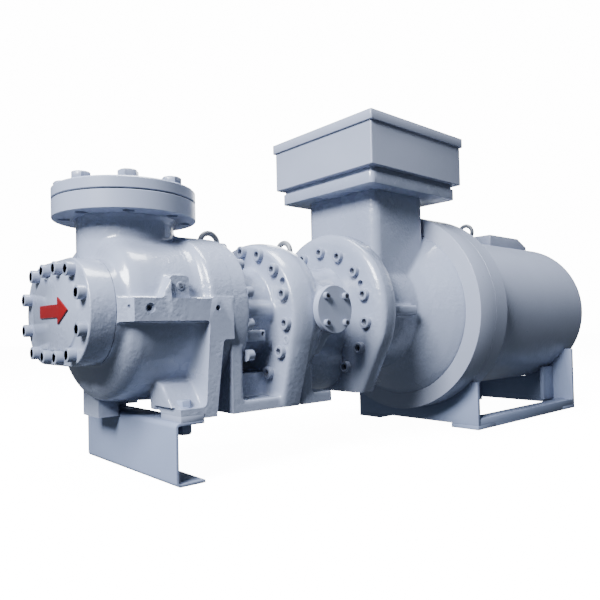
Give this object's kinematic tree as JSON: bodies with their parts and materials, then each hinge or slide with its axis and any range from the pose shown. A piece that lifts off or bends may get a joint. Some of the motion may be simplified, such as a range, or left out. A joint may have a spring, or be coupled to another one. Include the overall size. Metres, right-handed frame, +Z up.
{
  "type": "screw compressor",
  "caption": "Screw compressor block with a close-coupled electric motor, blanked top inlet, terminal box, channel support and welded motor base.",
  "frame": {"origin": "on the floor, at the middle of the underside of the support channel's lower leg, under the middle of the rotor casing", "axes": "+X along the shafts from the compressor's front cover towards the motor, +Z up, +Y across, away from the side with the machined ledge and the side port cover"},
  "size_m": [1.744, 0.568, 0.824],
  "materials": {
    "cast_enamel": "glossy light blue-grey enamel over rough iron casting",
    "machined_enamel": "thin blue-grey enamel over machined faces, satin",
    "sheet_enamel": "smooth satin grey enamel on rolled plate and sheet",
    "frame_enamel": "satin darker blue-grey enamel on welded plate",
    "eyebolt_steel": "dull dark grey forged steel",
    "gasket_sheet": "dark matte gasket sheet",
    "arrow_red": "red enamel"
  },
  "bodies": {
    "root": {"support_channel": "frame_enamel", "near_foot_shim": "machined_enamel", "far_foot_shim": "machined_enamel", "rotor_casing": "cast_enamel", "front_cover": "cast_enamel", "flow_arrow_plate": "arrow_red", "inlet_gasket": "gasket_sheet", "inlet_blind_flange": "machined_enamel", "bearing_housing": "cast_enamel", "second_bearing_cap": "cast_enamel", "drive_end_housing": "cast_enamel", "side_port_cover": "machined_enamel", "motor_end_shield": "cast_enamel", "motor_ring": "machined_enamel", "motor_shell": "sheet_enamel", "motor_rear_cover": "sheet_enamel", "shell_top_housing": "sheet_enamel", "terminal_duct": "cast_enamel", "terminal_base_plate": "cast_enamel", "terminal_box": "sheet_enamel", "terminal_lid": "sheet_enamel", "base_front_saddle": "frame_enamel", "base_rear_saddle": "frame_enamel", "base_front_pad_near": "frame_enamel", "base_front_pad_far": "frame_enamel", "base_rear_pad_near": "frame_enamel", "base_rear_pad_far": "frame_enamel", "base_rail_near": "frame_enamel", "base_rail_far": "frame_enamel", "base_rear_rib_near": "frame_enamel", "base_rear_rib_far": "frame_enamel", "bearing_housing_eyebolt": "eyebolt_steel", "drive_housing_eyebolt": "eyebolt_steel", "motor_eyebolt": "eyebolt_steel"}
  },
  "joints": []
}
